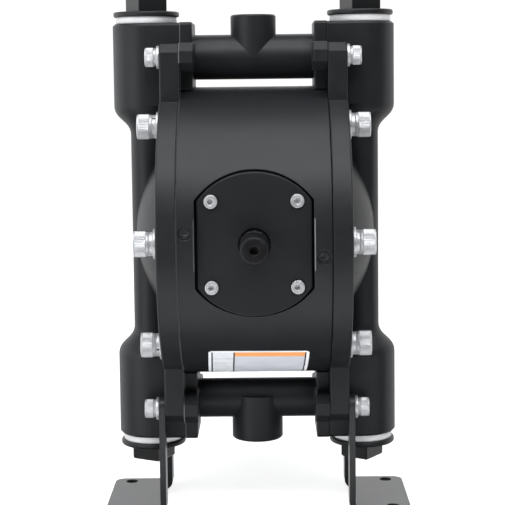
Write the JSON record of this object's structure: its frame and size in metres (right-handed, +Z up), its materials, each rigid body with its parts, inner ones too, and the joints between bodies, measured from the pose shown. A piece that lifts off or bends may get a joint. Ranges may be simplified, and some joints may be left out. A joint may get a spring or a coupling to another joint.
{
  "type": "air-operated double diaphragm pump",
  "caption": "Plastic double diaphragm pump with a round air section, domed fluid caps, threaded top and bottom ports, ball valves and bent steel feet.",
  "frame": {"origin": "middle of the four foot holes, on the underside of the feet", "axes": "+Z up through the outlet port, the air valve cover faces -Y, +X to the right seen from the front"},
  "size_m": [0.164, 0.181, 0.2777],
  "materials": {
    "charcoal_plastic": "moulded, fine matt grain",
    "plug_plastic": "moulded, matt",
    "cover_plastic": "flat and matt, darker than the housing",
    "muffler_plastic": "moulded, satin",
    "pilot_plug_steel": "blackened",
    "white_ptfe": "waxy white",
    "natural_acetal": "natural, smooth",
    "stainless_screws": "bright, knurled heads",
    "ground_steel": "ground",
    "plate_aluminium": "machined",
    "black_rubber": "matt",
    "inlet_brass": "turned",
    "bracket_paint": "satin black coating on bent steel"
  },
  "bodies": {
    "pump_body": {"centre_housing": "charcoal_plastic", "left_fluid_cap": "charcoal_plastic", "right_fluid_cap": "charcoal_plastic", "outlet_manifold": "charcoal_plastic", "inlet_manifold": "charcoal_plastic", "left_outlet_plug": "plug_plastic", "right_outlet_plug": "plug_plastic", "left_inlet_plug": "plug_plastic", "right_inlet_plug": "plug_plastic", "valve_cover": "cover_plastic", "exhaust_muffler": "muffler_plastic", "pilot_plugs": "pilot_plug_steel", "left_outlet_plug_seal": "white_ptfe", "right_outlet_plug_seal": "white_ptfe", "left_inlet_plug_seal": "white_ptfe", "right_inlet_plug_seal": "white_ptfe", "manifold_seals": "white_ptfe", "left_outlet_seat": "natural_acetal", "right_outlet_seat": "natural_acetal", "left_inlet_seat": "natural_acetal", "right_inlet_seat": "natural_acetal", "left_outlet_cage": "natural_acetal", "right_outlet_cage": "natural_acetal", "left_inlet_cage": "natural_acetal", "right_inlet_cage": "natural_acetal", "left_inlet_spacer": "natural_acetal", "right_inlet_spacer": "natural_acetal", "shaft_bushes": "natural_acetal", "left_cap_screws": "stainless_screws", "right_cap_screws": "stainless_screws", "left_cap_washers": "stainless_screws", "right_cap_washers": "stainless_screws", "left_cap_lock_washers": "stainless_screws", "right_cap_lock_washers": "stainless_screws", "left_manifold_screws": "stainless_screws", "right_manifold_screws": "stainless_screws", "left_manifold_washers": "stainless_screws", "right_manifold_washers": "stainless_screws", "cover_screws": "stainless_screws", "valve_block": "plate_aluminium", "left_diaphragm": "black_rubber", "right_diaphragm": "black_rubber", "shaft_seals": "black_rubber", "cover_gasket": "black_rubber", "air_inlet_bush": "inlet_brass", "left_foot_bracket": "bracket_paint", "right_foot_bracket": "bracket_paint"},
    "shaft_assembly": {"diaphragm_shaft": "ground_steel", "left_air_plate": "plate_aluminium", "right_air_plate": "plate_aluminium", "left_fluid_plate": "plate_aluminium", "right_fluid_plate": "plate_aluminium"},
    "pilot_rod": {"pilot_rod": "ground_steel"},
    "valve_spool": {"valve_spool": "ground_steel"},
    "left_outlet_ball": {"left_outlet_ball": "white_ptfe"},
    "right_outlet_ball": {"right_outlet_ball": "white_ptfe"},
    "left_inlet_ball": {"left_inlet_ball": "white_ptfe"},
    "right_inlet_ball": {"right_inlet_ball": "white_ptfe"}
  },
  "joints": [
    {"name": "shaft_stroke", "type": "slide", "parent": "pump_body", "child": "shaft_assembly", "axis": [1, 0, 0], "range_m": [-0.007, 0.007], "deforming": ["left_diaphragm", "right_diaphragm"]},
    {"name": "pilot_rod_slide", "type": "slide", "parent": "pump_body", "child": "pilot_rod", "axis": [1, 0, 0], "range_m": [-0.00455, 0.00455]},
    {"name": "spool_slide", "type": "slide", "parent": "pump_body", "child": "valve_spool", "axis": [1, 0, 0], "range_m": [-0.0035, 0.0035]},
    {"name": "left_outlet_ball_lift", "type": "slide", "parent": "pump_body", "child": "left_outlet_ball", "axis": [0, 0, 1], "range_m": [0, 0.0035]},
    {"name": "right_outlet_ball_lift", "type": "slide", "parent": "pump_body", "child": "right_outlet_ball", "axis": [0, 0, 1], "range_m": [0, 0.0035]},
    {"name": "left_inlet_ball_lift", "type": "slide", "parent": "pump_body", "child": "left_inlet_ball", "axis": [0, 0, 1], "range_m": [0, 0.0035]},
    {"name": "right_inlet_ball_lift", "type": "slide", "parent": "pump_body", "child": "right_inlet_ball", "axis": [0, 0, 1], "range_m": [0, 0.0035]}
  ],
  "couplings": [
    {"joint": "pilot_rod_slide", "follows": "shaft_stroke", "ratio": 0.65}
  ]
}
